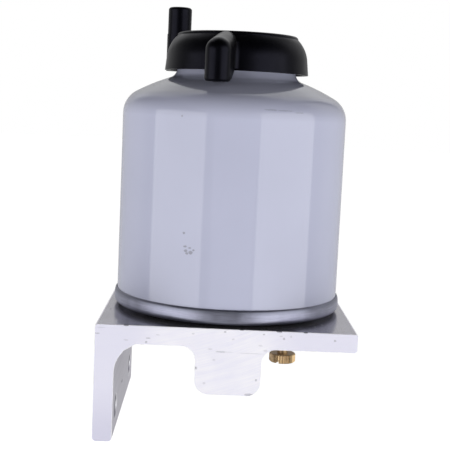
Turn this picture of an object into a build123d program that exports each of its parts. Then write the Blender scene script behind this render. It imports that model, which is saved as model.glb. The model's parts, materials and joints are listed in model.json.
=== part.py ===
"""Spin-on fuel filter on a cut aluminium bracket, with a self-venting drain collar on the can's end.

Millimetres, +Z up. The can's axis is the Z axis, and the origin is the middle of the outlet port's mouth
in the bracket's boss. The bracket's sawn front faces -Y and its leg hangs on the -X side.
"""

import os
from math import atan2, cos, degrees, pi, radians, sin, sqrt, tan

from build123d import *

os.makedirs("parts", exist_ok=True)

# Bracket section, the same all along Y
plate_width = 101.6
plate_thick = 7.5
leg_thick = 7.8
leg_height = 46.8
boss_width = 25.7
boss_height = 26.3
boss_shift = 1.05
boss_corner_r = 5.5
boss_root_r = 5.6
leg_root_r = 12.0
leg_root_depth = 19.0
leg_root_turn = 41.5
root_step = 0.7
slant_angle = 31.0
edge_r = 1.2
leg_end_r = 1.6

# Bracket ends, from the can's axis to each saw cut
front_reach = 48.3
back_reach = 40.6

# Holes in the bracket
leg_hole_r = 4.75
leg_hole_spacing = 63.5
leg_hole_height = 10.6
leg_hole_bevel = 0.4
port_r = 6.9
port_depth = 11.0
inlet_reach = 23.5
inlet_r = 4.0

# Centre stud
stud_r = 11.1
stud_bore_r = 7.0
passage_r = 6.0
stud_seat = 12.5
stud_rise = 15.8
stud_bevel = 1.0
thread_gap = 0.04

# Bleed screw and its ring
bleed_x = 24.65
bleed_y = -12.0
bleed_thread_r = 3.0
bleed_neck_r = 2.2
bleed_shoulder_r = 3.4
bleed_shoulder_thick = 1.2
bleed_vent_r = 1.0
bleed_land = 1.6
bleed_tip_rise = 1.5
bleed_tip_bevel = 1.3
bleed_pocket_r = 4.0
bleed_pocket_depth = 2.05
bleed_ring_wire_r = 0.78
knurl_r = 5.55
knurl_height = 3.7
knurl_teeth = 32
knurl_depth = 0.4
knurl_bevel = 0.45
knurl_drop = 9.8
slot_width = 1.4
slot_depth = 1.6
slot_turn = 27.6

# Can
can_r = 46.9
can_wall = 0.8
wall_height = 80.7
knuckle_r = 10.5
dome_r = 85.0
neck_r = 24.9
neck_rise = 2.1
neck_corner_r = 1.5
flare_r = 4.0

# Seam ring, gasket and base plate
seam_lap = 1.1
seam_low = 2.6
seam_height = 4.2
seam_width = 3.4
seam_round = 1.5
seam_gap = 0.05
gasket_r = 35.95
gasket_width = 4.85
gasket_height = 4.4
gasket_gap = 0.1
sheet = 0.8
base_clear = 2.5
base_thick = 4.0
base_hub_r = 14.0
base_hub_rise = 5.0
base_holes = 8
base_hole_r = 3.2
base_hole_circle_r = 22.0

# Filter element
grommet_bore_r = 11.6
grommet_groove_r = 12.8
grommet_flange_r = 15.2
grommet_lip_r = 14.2
grommet_flange = 1.0
core_r = 15.2
core_hole_r = 3.0
core_rows = 4
core_holes_round = 3
element_clear = 6.1
cap_rim = 5.0
element_length = 65.9
pleats = 44
pleat_clear = 0.3
pleat_inner_r = 15.5
pleat_fold = 8.0

# Leaf spring on the element's closed end
spring_hole_r = 6.0
spring_disc_r = 16.0
spring_arm_width = 11.0
spring_reach = 33.0
spring_arms = 4

# Drain seat clamped in the can's neck
seat_flange_r = 20.0
seat_floor = 1.2
seat_gasket_thick = 0.6
seat_stem_r = 12.0
seat_stem_drop = 8.5
seat_cup_wall = 3.0
seat_cup_rise = 3.9
spindle_r = 3.9
spindle_drop = 0.6
nut_flats = 30.0
nut_thick = 4.0
port_seal_thick = 1.2
port_bore_r = 1.9
port_circle_r = 8.6
open_turn = 60.0
vent_pipe_r = 1.85
vent_pipe_wall = 0.5
vent_pipe_length = 14.0
vent_pipe_seat = 6.0
clip_r = 5.5
clip_thick = 0.6
clip_groove = 0.65

# Drain collar
rim_r = 30.1
rim_drop = 2.9
collar_height = 15.7
collar_top_r = 25.3
collar_edge_r = 1.3
collar_wall = 2.2
collar_top_thick = 2.2
hub_r = 13.1
running_gap = 0.08
face_gap = 0.05
seat_clear = 0.3
ring_wire_r = 0.65
ring_height = 1.4
recess_r = 6.0
recess_depth = 2.2
duct_width = 6.4
duct_roof = 1.0
stop_width = 3.0
stop_r = 18.6
stop_drop = 1.0

# Straight drain tube and bent vent spout on the collar
tube_x = -25.1
tube_y = 13.4
tube_r = 5.0
tube_root_r = 5.2
tube_bore_r = 3.2
tube_rise = 11.4
tube_floor = 0.7
tube_lip_r = 1.2
spout_reach = 38.2
spout_turn = 11.9
spout_r = 5.1
spout_bore_r = 2.7
spout_bend_r = 5.7
spout_corner_drop = 8.6
spout_slope = 13.0
spout_mouth_depth = 6.0
spout_drop = 4.8
spout_lip_r = 1.2
web_width = 9.4
web_low_reach = 34.4

# Heights that the sizes above give
deck = boss_height
under = deck - plate_thick
leg_face = -plate_width / 2
leg_inner = leg_face + leg_thick
leg_end = deck - leg_height
bracket_depth = front_reach + back_reach
channel_roof = deck + gasket_height + gasket_gap
base_low = channel_roof + sheet
base_top = base_low + base_thick
hub_top = base_top + base_hub_rise
lower_cap = hub_top + grommet_flange
element_low = lower_cap + sheet
element_high = element_low + element_length
upper_cap = element_high + sheet
core_inner_r = core_r - sheet
seam_r = can_r + seam_lap
base_r = can_r - can_wall - base_clear
cap_r = can_r - can_wall - element_clear
pleat_r = cap_r - sheet - pleat_clear
knuckle_x = can_r - knuckle_r
knuckle_z = deck + wall_height
dome_z = knuckle_z - sqrt((dome_r - knuckle_r) ** 2 - knuckle_x**2)
flare_x = neck_r + flare_r
flare_z = dome_z + sqrt((dome_r + flare_r) ** 2 - flare_x**2)
neck_top = flare_z + neck_rise
seat_low = neck_top + seat_gasket_thick
seat_top = seat_low + seat_floor
hub_low = seat_top + port_seal_thick + face_gap
cup_r = hub_r + running_gap
cup_outer_r = cup_r + seat_cup_wall
cup_top = seat_top + seat_cup_rise
rim_low = neck_top - rim_drop
collar_top = rim_low + collar_height
collar_under = collar_top - collar_top_thick
duct_low = cup_top + seat_clear
duct_axis = (duct_low + collar_top - duct_roof) / 2
recess_floor = collar_top - recess_depth
spindle_top = collar_top - spindle_drop
stem_low = neck_top - seat_stem_drop
tube_turn = degrees(atan2(tube_y, tube_x))
tube_reach = sqrt(tube_x**2 + tube_y**2)
tube_top = collar_top + tube_rise
spout_azimuth = -90.0 - spout_turn
spout_low = rim_low - spout_drop
spout_corner = collar_top - spout_corner_drop
spout_fall = tan(radians(spout_slope))
spout_start = spout_reach - (spout_corner_drop - spout_r / cos(radians(spout_slope))) / spout_fall
duct_bend = spout_reach - (duct_axis - spout_corner) / spout_fall


def band(inner_r, outer_r, low, high):
    """Adds a ring's half section to the sketch in hand."""
    with Locations((inner_r, low)):
        Rectangle(outer_r - inner_r, high - low, align=(Align.MIN, Align.MIN))


def radial_plane(azimuth):
    """Upright plane through the Z axis: its first axis points outward at that azimuth, its second up."""
    out = (cos(radians(azimuth)), sin(radians(azimuth)), 0)
    side = (sin(radians(azimuth)), -cos(radians(azimuth)), 0)
    return Plane(origin=(0, 0, 0), x_dir=out, z_dir=side)


def at_azimuth(reach, azimuth, height):
    """Point at that distance from the Z axis."""
    return (reach * cos(radians(azimuth)), reach * sin(radians(azimuth)), height)


# Filter head: one length of extruded section, sawn to length and drilled
with BuildPart() as filter_head:
    with BuildSketch(Plane.XZ.offset(-back_reach)) as section:
        with Locations((0, deck)):
            Rectangle(plate_width, plate_thick, align=(Align.CENTER, Align.MAX))
        with Locations((leg_face, deck)):
            Rectangle(leg_thick, leg_height, align=(Align.MIN, Align.MAX))
        with Locations((boss_shift, deck)):
            Rectangle(boss_width, boss_height, align=(Align.CENTER, Align.MAX))
        # Root of the leg: a deep arc, a small step and a straight slant up to the plate
        arc_z = deck - leg_root_depth
        arc_end_x = leg_inner + leg_root_r * (1 - cos(radians(leg_root_turn)))
        arc_end_z = arc_z + leg_root_r * sin(radians(leg_root_turn))
        slant_x = arc_end_x + root_step / 2
        slant_z = arc_end_z + root_step
        slant_end_x = slant_x + (under - slant_z) / tan(radians(slant_angle))
        with BuildLine() as root:
            CenterArc((leg_inner + leg_root_r, arc_z), leg_root_r, 180, -leg_root_turn)
            Polyline(
                (arc_end_x, arc_end_z),
                (slant_x, slant_z),
                (slant_end_x, under),
                (leg_inner, under),
                (leg_inner, arc_z),
            )
        make_face()
        boss_left = boss_shift - boss_width / 2
        boss_right = boss_shift + boss_width / 2
        root_corners = [section.vertices().sort_by_distance((x, under))[0] for x in (boss_left, boss_right)]
        fillet(root_corners, radius=boss_root_r)
        boss_corners = [section.vertices().sort_by_distance((x, 0))[0] for x in (boss_left, boss_right)]
        fillet(boss_corners, radius=boss_corner_r)
        plate_corners = [(leg_face, deck), (-leg_face, deck), (-leg_face, under)]
        fillet([section.vertices().sort_by_distance(p)[0] for p in plate_corners], radius=edge_r)
        leg_corners = [(leg_face, leg_end), (leg_inner, leg_end)]
        fillet([section.vertices().sort_by_distance(p)[0] for p in leg_corners], radius=leg_end_r)
    extrude(amount=bracket_depth)

    # Stud thread from the deck, outlet port from below, and the passage that joins them
    with Locations((0, 0, deck)):
        Hole(radius=stud_r + thread_gap, depth=stud_seat)
        Hole(radius=passage_r, depth=boss_height)
    with Locations(Plane(origin=(0, 0, 0), z_dir=(0, 0, -1))):
        Hole(radius=port_r, depth=port_depth)

    # Inlet port from below, and its drilling up to the space inside the gasket
    with Locations((0, inlet_reach, deck)):
        Hole(radius=inlet_r, depth=boss_height)
    with Locations(Plane(origin=(0, inlet_reach, 0), z_dir=(0, 0, -1))):
        Hole(radius=port_r, depth=port_depth)

    # Bleed hole: fine vent at the deck, thread below it, pocket for the ring at the underside
    with Locations((bleed_x, bleed_y, deck)):
        Hole(radius=bleed_vent_r, depth=plate_thick)
    with Locations(Plane(origin=(bleed_x, bleed_y, under), z_dir=(0, 0, -1))):
        Hole(radius=bleed_thread_r + thread_gap, depth=plate_thick - bleed_land)
        Hole(radius=bleed_pocket_r, depth=bleed_pocket_depth)

    # Two bolt holes through the leg
    leg_middle = (leg_face, (back_reach - front_reach) / 2, leg_end + leg_hole_height)
    with Locations(Plane(origin=leg_middle, x_dir=(0, 1, 0), z_dir=(-1, 0, 0))):
        with GridLocations(leg_hole_spacing, leg_hole_spacing, 2, 1):
            Hole(radius=leg_hole_r, depth=leg_thick)
    leg_hole_rims = filter_head.edges().filter_by(
        lambda e: e.geom_type == GeomType.CIRCLE and abs(e.radius - leg_hole_r) < 1e-4
    )
    chamfer(leg_hole_rims, length=leg_hole_bevel)
filter_head.part.label = "filter_head"
export_step(filter_head.part, "parts/filter_head.step")

# Centre stud: hollow, threaded, screwed into the deck
with BuildPart() as centre_stud:
    with BuildSketch(Plane.XZ):
        band(stud_bore_r, stud_r, deck - stud_seat, deck + stud_rise)
    revolve(axis=Axis.Z)
    stud_ends = centre_stud.edges().filter_by(GeomType.CIRCLE)
    chamfer(stud_ends.filter_by(lambda e: abs(e.radius - stud_r) < 1e-4), length=stud_bevel)
centre_stud.part.label = "centre_stud"
export_step(centre_stud.part, "parts/centre_stud.step")

# Bleed screw: straight-knurled head with a coin slot, long neck, short thread and cone tip
thread_low = under + bleed_pocket_depth
tip_high = deck - bleed_land - seat_clear
thread_high = tip_high - bleed_tip_rise
knurl_top = under - knurl_drop
knurl_low = knurl_top - knurl_height
with BuildPart() as bleed_screw:
    with BuildSketch(Plane((bleed_x, bleed_y, knurl_low))):
        step = 2 * pi / knurl_teeth
        root_r = knurl_r - knurl_depth
        with BuildLine():
            teeth = []
            for tooth in range(knurl_teeth):
                angle = tooth * step
                teeth.append((knurl_r * cos(angle), knurl_r * sin(angle)))
                teeth.append((root_r * cos(angle + step / 2), root_r * sin(angle + step / 2)))
            Polyline(*teeth, close=True)
        make_face()
    extrude(amount=knurl_height)
    bleed_plane = Plane(origin=(bleed_x, bleed_y, 0), x_dir=(1, 0, 0), z_dir=(0, -1, 0))
    bleed_axis = Axis((bleed_x, bleed_y, 0), (0, 0, 1))
    with BuildSketch(bleed_plane):
        Polygon(
            (0, knurl_low),
            (knurl_r - knurl_bevel, knurl_low),
            (knurl_r, knurl_low + knurl_bevel),
            (knurl_r, knurl_top - knurl_bevel),
            (knurl_r - knurl_bevel, knurl_top),
            (0, knurl_top),
            align=None,
        )
    revolve(axis=bleed_axis, mode=Mode.INTERSECT)
    with BuildSketch(bleed_plane):
        band(0, bleed_neck_r, knurl_top - knurl_height / 2, tip_high)
        band(0, bleed_shoulder_r, under - bleed_shoulder_thick, under)
        band(0, bleed_thread_r, thread_low, thread_high)
    revolve(axis=bleed_axis)
    tip = bleed_screw.edges().filter_by(GeomType.CIRCLE).sort_by(Axis.Z)[-1]
    chamfer(tip, length=bleed_tip_bevel)
    slot_plane = Plane(origin=(bleed_x, bleed_y, knurl_low), x_dir=at_azimuth(1, -90 - slot_turn, 0))
    with BuildSketch(slot_plane):
        Rectangle(4 * knurl_r, slot_width)
    extrude(amount=slot_depth, mode=Mode.SUBTRACT)
bleed_screw.part.label = "bleed_screw"
export_step(bleed_screw.part, "parts/bleed_screw.step")

# Rubber ring in the pocket round the bleed screw
with BuildPart() as bleed_ring:
    with BuildSketch(bleed_plane):
        with Locations(((bleed_neck_r + bleed_pocket_r) / 2, under + bleed_pocket_depth / 2)):
            Circle(bleed_ring_wire_r)
    revolve(axis=bleed_axis)
bleed_ring.part.label = "bleed_ring"
export_step(bleed_ring.part, "parts/bleed_ring.step")


def can_outline(inset):
    """Half section of the can inside its outer face by inset: wall, knuckle, dome, flare and neck."""
    knuckle_end = degrees(atan2(knuckle_z - dome_z, knuckle_x))
    dome_end = degrees(atan2(flare_z - dome_z, flare_x))
    low = deck + seam_low + seam_height + seam_gap
    corner_r = neck_corner_r - inset
    corner = (neck_r - neck_corner_r, neck_top - neck_corner_r)
    with BuildSketch(Plane.XZ) as outline:
        with BuildLine():
            Polyline((0, low), (can_r - inset, low), (can_r - inset, knuckle_z))
            CenterArc((knuckle_x, knuckle_z), knuckle_r - inset, 0, knuckle_end)
            CenterArc((0, dome_z), dome_r - inset, knuckle_end, dome_end - knuckle_end)
            CenterArc((flare_x, flare_z), flare_r + inset, 180 + dome_end, -dome_end)
            Line((neck_r - inset, flare_z), (neck_r - inset, corner[1]))
            CenterArc(corner, corner_r, 0, 90)
            Polyline((corner[0], neck_top - inset), (0, neck_top - inset), (0, low))
        make_face()
    return outline.sketch


# Can shell: deep-drawn steel cup with a domed end and a neck
can_outside = can_outline(0)
can_inside = can_outline(can_wall)
with BuildPart() as can_shell:
    revolve(can_outside, axis=Axis.Z)
    revolve(can_inside, axis=Axis.Z, mode=Mode.SUBTRACT)
    with Locations((0, 0, neck_top)):
        Hole(radius=seat_stem_r + thread_gap, depth=2 * can_wall)
can_shell.part.label = "can_shell"
export_step(can_shell.part, "parts/can_shell.step")

# Seam ring: the rolled edge that closes the can, with the gasket channel formed in its sheet
gasket_inner_r = gasket_r - gasket_width
seam_inner_r = seam_r - seam_width
channel_r = gasket_r + gasket_gap
with BuildPart() as seam_ring:
    with BuildSketch(Plane.XZ):
        with Locations((seam_inner_r, deck + seam_low)):
            RectangleRounded(seam_width, seam_height, seam_round, align=(Align.MIN, Align.MIN))
        band(channel_r, seam_inner_r + seam_width / 2, deck + seam_low + sheet, deck + seam_low + 2 * sheet)
        band(channel_r, channel_r + sheet, deck + seam_low + sheet, base_low)
        band(gasket_inner_r - gasket_gap - sheet, channel_r + sheet, channel_roof, base_low)
        band(gasket_inner_r - gasket_gap - sheet, gasket_inner_r - gasket_gap, deck + seam_low, base_low)
    revolve(axis=Axis.Z)
seam_ring.part.label = "seam_ring"
export_step(seam_ring.part, "parts/seam_ring.step")

# Base gasket: square rubber ring that seats on the deck
with BuildPart() as base_gasket:
    with BuildSketch(Plane.XZ):
        band(gasket_inner_r, gasket_r, deck, deck + gasket_height)
    revolve(axis=Axis.Z)
base_gasket.part.label = "base_gasket"
export_step(base_gasket.part, "parts/base_gasket.step")

# Base plate: thick tapped steel plate with a ring of inlet holes
with BuildPart() as base_plate:
    with BuildSketch(Plane.XZ):
        band(stud_r + thread_gap, base_r, base_low, base_top)
        band(stud_r + thread_gap, base_hub_r, base_low, hub_top)
    revolve(axis=Axis.Z)
    with Locations((0, 0, base_top)):
        with PolarLocations(base_hole_circle_r, base_holes):
            Hole(radius=base_hole_r, depth=base_thick)
base_plate.part.label = "base_plate"
export_step(base_plate.part, "parts/base_plate.step")

# Element grommet: rubber bush that seals the element on the tapped hub
with BuildPart() as element_grommet:
    with BuildSketch(Plane.XZ):
        band(grommet_bore_r, grommet_flange_r, hub_top, lower_cap)
        band(grommet_bore_r, grommet_groove_r, hub_top, element_low + grommet_flange)
        band(grommet_bore_r, grommet_lip_r, element_low, element_low + grommet_flange)
    revolve(axis=Axis.Z)
element_grommet.part.label = "element_grommet"
export_step(element_grommet.part, "parts/element_grommet.step")

# End caps: pressed steel dishes that hold the pleats, the lower one open in the middle
with BuildPart() as lower_end_cap:
    with BuildSketch(Plane.XZ):
        band(grommet_groove_r + gasket_gap, cap_r, lower_cap, element_low)
        band(cap_r - sheet, cap_r, lower_cap, lower_cap + cap_rim)
    revolve(axis=Axis.Z)
lower_end_cap.part.label = "lower_end_cap"
export_step(lower_end_cap.part, "parts/lower_end_cap.step")

with BuildPart() as upper_end_cap:
    with BuildSketch(Plane.XZ):
        band(0, cap_r, element_high, upper_cap)
        band(cap_r - sheet, cap_r, upper_cap - cap_rim, upper_cap)
    revolve(axis=Axis.Z)
upper_end_cap.part.label = "upper_end_cap"
export_step(upper_end_cap.part, "parts/upper_end_cap.step")

# Centre tube: perforated steel, carries the element against the flow
with BuildPart() as centre_tube:
    with BuildSketch(Plane.XZ):
        band(core_inner_r, core_r, element_low, element_high)
    revolve(axis=Axis.Z)
    row_pitch = element_length / core_rows
    for row in range(core_rows):
        row_height = element_low + (row + 0.5) * row_pitch
        for turn in range(core_holes_round):
            azimuth = (turn + 0.5 * (row % 2)) * 180 / core_holes_round
            with Locations(Plane(origin=(0, 0, row_height), z_dir=at_azimuth(1, azimuth, 0))):
                Cylinder(core_hole_r, 4 * core_r, mode=Mode.SUBTRACT)
centre_tube.part.label = "centre_tube"
export_step(centre_tube.part, "parts/centre_tube.step")


def pleat_star(tip_r, valley_r):
    """Zigzag outline of the folded paper, with one tip and one valley to each pleat."""
    with BuildSketch(Plane.XY.offset(element_low)) as star:
        with BuildLine():
            folds = []
            for fold in range(2 * pleats):
                radius = tip_r if fold % 2 == 0 else valley_r
                folds.append((radius * cos(fold * pi / pleats), radius * sin(fold * pi / pleats)))
            Polyline(*folds, close=True)
        make_face()
    return star.sketch


# Pleated paper between the end caps
with BuildPart() as pleated_paper:
    extrude(pleat_star(pleat_r, pleat_inner_r + pleat_fold), amount=element_length)
    inner_folds = pleat_star(pleat_r - pleat_fold, pleat_inner_r)
    extrude(inner_folds, amount=element_length, mode=Mode.SUBTRACT)
pleated_paper.part.label = "pleated_paper"
export_step(pleated_paper.part, "parts/pleated_paper.step")

# Leaf spring: stamped star that presses the element onto the hub
spring_low = upper_cap + face_gap
spring_mid = spring_low + sheet / 2
dome_inside = dome_z + sqrt((dome_r - can_wall) ** 2 - spring_reach**2)
with BuildPart() as element_spring:
    with BuildSketch(Plane.XZ):
        band(spring_hole_r, spring_disc_r, spring_low, spring_low + sheet)
    revolve(axis=Axis.Z)
    for arm in range(spring_arms):
        with BuildSketch(radial_plane(arm * 360 / spring_arms)):
            with BuildLine() as leaf:
                flat = Line((spring_hole_r + 1, spring_mid), (spring_disc_r, spring_mid))
                tip_z = dome_inside - seat_clear - sheet / 2
                TangentArc(flat @ 1, (spring_reach, tip_z), tangent=(1, 0))
            trace(line_width=sheet)
        extrude(amount=spring_arm_width / 2, both=True)
element_spring.part.label = "element_spring"
export_step(element_spring.part, "parts/element_spring.step")

# Drain seat: the fixed half of the drain valve, with its stem through the neck
drain_open = tube_turn + open_turn
vent_open = spout_azimuth + open_turn
with BuildPart() as drain_seat:
    with BuildSketch(Plane.XZ):
        band(0, seat_flange_r, seat_low, seat_top)
        band(0, seat_stem_r, stem_low, seat_low)
        band(cup_r, cup_outer_r, seat_low, cup_top)
        band(0, spindle_r, seat_low, spindle_top)
    revolve(axis=Axis.Z)
    with BuildSketch(Plane.XZ):
        band(spindle_r - clip_groove, 2 * spindle_r, recess_floor, recess_floor + clip_thick + 2 * face_gap)
    revolve(axis=Axis.Z, mode=Mode.SUBTRACT)
    for azimuth in (drain_open, vent_open):
        with Locations(at_azimuth(port_circle_r, azimuth, seat_top)):
            Hole(radius=port_bore_r, depth=seat_top - stem_low)
    # Two stops on the flange that end the collar's turn
    stop_angle = degrees(2 * atan2(stop_width / 2, cup_outer_r) + seat_clear / cup_outer_r)
    for azimuth in (-stop_angle, open_turn + stop_angle):
        with BuildSketch(Plane.XY.offset(seat_low)):
            with Locations(Rotation(0, 0, azimuth)):
                with Locations((cup_r, 0)):
                    Rectangle(stop_r - cup_r, stop_width, align=(Align.MIN, Align.CENTER))
        extrude(amount=cup_top - seat_low - stop_drop)
drain_seat.part.label = "drain_seat"
export_step(drain_seat.part, "parts/drain_seat.step")

# Flat gasket between the seat's flange and the neck
with BuildPart() as seat_gasket:
    with BuildSketch(Plane.XZ):
        band(seat_stem_r + thread_gap, seat_flange_r, neck_top, seat_low)
    revolve(axis=Axis.Z)
seat_gasket.part.label = "seat_gasket"
export_step(seat_gasket.part, "parts/seat_gasket.step")

# Hexagon nut inside the neck that clamps the seat
with BuildPart() as seat_nut:
    with BuildSketch(Plane.XY.offset(neck_top - can_wall - nut_thick)):
        RegularPolygon(radius=nut_flats / 2, side_count=6, major_radius=False)
        Circle(seat_stem_r + thread_gap, mode=Mode.SUBTRACT)
    extrude(amount=nut_thick)
seat_nut.part.label = "seat_nut"
export_step(seat_nut.part, "parts/seat_nut.step")

# Rubber disc under the collar's hub, with a hole over each port of the seat
with BuildPart() as port_seal:
    with BuildSketch(Plane.XZ):
        band(spindle_r + gasket_gap, cup_r - gasket_gap, seat_top, seat_top + port_seal_thick)
    revolve(axis=Axis.Z)
    for azimuth in (drain_open, vent_open):
        with Locations(at_azimuth(port_circle_r, azimuth, seat_top + port_seal_thick)):
            Hole(radius=port_bore_r, depth=port_seal_thick)
port_seal.part.label = "port_seal"
export_step(port_seal.part, "parts/port_seal.step")

# Vent pipe pressed into the seat's vent port, reaching into the can
with BuildPart() as vent_pipe:
    with Locations(at_azimuth(port_circle_r, vent_open, stem_low + vent_pipe_seat)):
        Cylinder(vent_pipe_r, vent_pipe_length, align=(Align.CENTER, Align.CENTER, Align.MAX))
        Hole(radius=vent_pipe_r - vent_pipe_wall)
vent_pipe.part.label = "vent_pipe"
export_step(vent_pipe.part, "parts/vent_pipe.step")

# Retaining clip in the spindle's groove
with BuildPart() as retaining_clip:
    with BuildSketch(Plane.XY.offset(recess_floor + face_gap)):
        Circle(clip_r)
        Circle(spindle_r - clip_groove + face_gap, mode=Mode.SUBTRACT)
        with Locations((0, -clip_r)):
            Rectangle(spindle_r, 2 * clip_r, mode=Mode.SUBTRACT)
    extrude(amount=clip_thick)
retaining_clip.part.label = "retaining_clip"
export_step(retaining_clip.part, "parts/retaining_clip.step")

# Drain collar: moulded cap that turns on the spindle, with its tube and spout in one piece
tube_foot = (tube_x, tube_y, rim_low)
spout_plane = radial_plane(spout_azimuth)
with BuildPart() as drain_collar:
    with BuildSketch(Plane.XZ):
        with BuildLine() as skirt:
            skirt_side = Line((rim_r, rim_low), (rim_r - 0.65, rim_low + 6.0))
            shoulder = TangentArc(
                skirt_side @ 1,
                (collar_top_r, collar_top - collar_edge_r),
                tangent=skirt_side % 1,
            )
            edge_x = collar_top_r - collar_edge_r
            CenterArc((edge_x, collar_top - collar_edge_r), collar_edge_r, 0, 90)
            Polyline((edge_x, collar_top), (0, collar_top), (0, rim_low), (rim_r, rim_low))
        make_face()
    revolve(axis=Axis.Z)

    # Straight tube, standing half out of the skirt on a slightly wider root
    with Locations(tube_foot):
        Cylinder(tube_r, tube_top - rim_low, align=(Align.CENTER, Align.CENTER, Align.MIN))
        Cylinder(tube_root_r, collar_height, align=(Align.CENTER, Align.CENTER, Align.MIN))
    fillet(drain_collar.edges().filter_by(GeomType.CIRCLE).sort_by(Axis.Z)[-1], radius=tube_lip_r)

    # Spout: runs down from the collar's top edge, turns down in a ball corner, with a web behind it
    spout_start_z = spout_corner + (spout_reach - spout_start) * spout_fall
    with BuildLine(spout_plane) as spout_path:
        Polyline((spout_start, spout_start_z), (spout_reach, spout_corner), (spout_reach, spout_low))
    with BuildSketch(Plane(origin=spout_path.line @ 1, z_dir=spout_path.line % 1)):
        Circle(spout_r)
    sweep(path=spout_path.line, transition=Transition.ROUND)
    spout_mouth = drain_collar.edges().filter_by(GeomType.CIRCLE).sort_by(Axis.Z)[0]
    fillet(spout_mouth, radius=spout_lip_r)
    with BuildSketch(spout_plane):
        Polygon(
            (hub_r, rim_low),
            (rim_r - collar_wall / 2, rim_low),
            (web_low_reach, spout_low + spout_lip_r),
            (spout_reach, spout_low + spout_lip_r),
            (spout_reach, spout_corner),
            (spout_start, spout_start_z),
            (hub_r, spout_start_z),
            align=None,
        )
    extrude(amount=web_width / 2, both=True)

    # Hollow underside
    with BuildSketch(Plane.XZ):
        with BuildLine():
            cavity_side = Line(
                (rim_r - collar_wall, rim_low),
                (rim_r - 0.65 - collar_wall, rim_low + 6.0),
            )
            cavity_top = TangentArc(
                cavity_side @ 1,
                (collar_top_r - collar_wall, collar_under),
                tangent=cavity_side % 1,
            )
            Polyline(cavity_top @ 1, (0, collar_under), (0, rim_low), (rim_r - collar_wall, rim_low))
        make_face()
    revolve(axis=Axis.Z, mode=Mode.SUBTRACT)

    # Hub that plugs into the seat's cup, the two ducts and the stop
    with BuildSketch(Plane.XZ):
        band(0, hub_r, hub_low, collar_top - collar_edge_r)
    revolve(axis=Axis.Z)
    with BuildSketch(radial_plane(tube_turn)):
        band(0, rim_r - collar_wall, duct_low, collar_top - collar_edge_r)
    extrude(amount=duct_width / 2, both=True)
    duct_end = rim_r - collar_wall
    duct_end_low = spout_corner + (spout_reach - duct_end) * spout_fall - duct_width / 2
    with BuildSketch(spout_plane):
        Polygon(
            (0, duct_low),
            (cup_outer_r + seat_clear, duct_low),
            (duct_end, duct_end_low),
            (duct_end, spout_corner),
            (spout_start, collar_top - collar_edge_r),
            (0, collar_top - collar_edge_r),
            align=None,
        )
    extrude(amount=duct_width / 2, both=True)
    with Locations((tube_x, tube_y, duct_low)):
        Cylinder(tube_root_r, collar_top - duct_low, align=(Align.CENTER, Align.CENTER, Align.MIN))
    with BuildSketch(Plane.XY.offset(seat_top + seat_clear)):
        with Locations((cup_outer_r + seat_clear, 0)):
            Rectangle(stop_r - cup_outer_r - seat_clear, stop_width, align=(Align.MIN, Align.CENTER))
    extrude(amount=collar_top - collar_edge_r - seat_top - seat_clear)

    # Bores: spindle, clip recess, ring groove, the two ports, their ducts and the two outlets
    with Locations((0, 0, collar_top)):
        Hole(radius=spindle_r + running_gap, depth=collar_height)
        Hole(radius=recess_r, depth=recess_depth)
    with BuildSketch(Plane.XZ):
        band(hub_r - 2 * ring_wire_r, cup_r, hub_low + ring_wire_r, hub_low + ring_wire_r + ring_height)
    revolve(axis=Axis.Z, mode=Mode.SUBTRACT)
    for azimuth in (tube_turn, spout_azimuth):
        with Locations(Plane(origin=at_azimuth(port_circle_r, azimuth, hub_low), z_dir=(0, 0, -1))):
            Hole(radius=port_bore_r, depth=duct_axis + port_bore_r - hub_low)
    duct_start = at_azimuth(port_circle_r, tube_turn, duct_axis)
    with Locations(Plane(origin=duct_start, z_dir=at_azimuth(1, tube_turn, 0))):
        Cylinder(
            port_bore_r,
            tube_reach - port_circle_r,
            align=(Align.CENTER, Align.CENTER, Align.MIN),
            mode=Mode.SUBTRACT,
        )
    with Locations((tube_x, tube_y, tube_top)):
        Hole(radius=tube_bore_r, depth=tube_top - duct_low - tube_floor)
    with BuildLine(spout_plane) as spout_bore:
        FilletPolyline(
            (port_circle_r, duct_axis),
            (duct_bend, duct_axis),
            (spout_reach, spout_corner),
            (spout_reach, spout_low),
            radius=spout_bend_r,
        )
    with BuildSketch(Plane(origin=spout_bore.line @ 1, z_dir=spout_bore.line % 1)):
        Circle(port_bore_r)
    sweep(path=spout_bore.line, mode=Mode.SUBTRACT)
    with Locations(Plane(origin=at_azimuth(spout_reach, spout_azimuth, spout_low), z_dir=(0, 0, -1))):
        Hole(radius=spout_bore_r, depth=spout_mouth_depth)
drain_collar.part.label = "drain_collar"
export_step(drain_collar.part, "parts/drain_collar.step")

# Rubber ring in the hub's groove
with BuildPart() as collar_ring:
    with BuildSketch(Plane.XZ):
        with Locations((cup_r - ring_wire_r - running_gap / 2, hub_low + ring_wire_r + ring_height / 2)):
            Circle(ring_wire_r)
    revolve(axis=Axis.Z)
collar_ring.part.label = "collar_ring"
export_step(collar_ring.part, "parts/collar_ring.step")
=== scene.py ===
# %% [markdown]
# # A spin-on fuel filter on its bracket
# The measured model comes first, as a frame that never moves. Everything in this lesson is built round it:
# a camera at the photograph's viewpoint, light, finishes, and a few finer meshes that stand for plain ones.

# %% Load the frame
import json
import math

import bmesh
import bpy
from mathutils import Matrix, Vector


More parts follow.
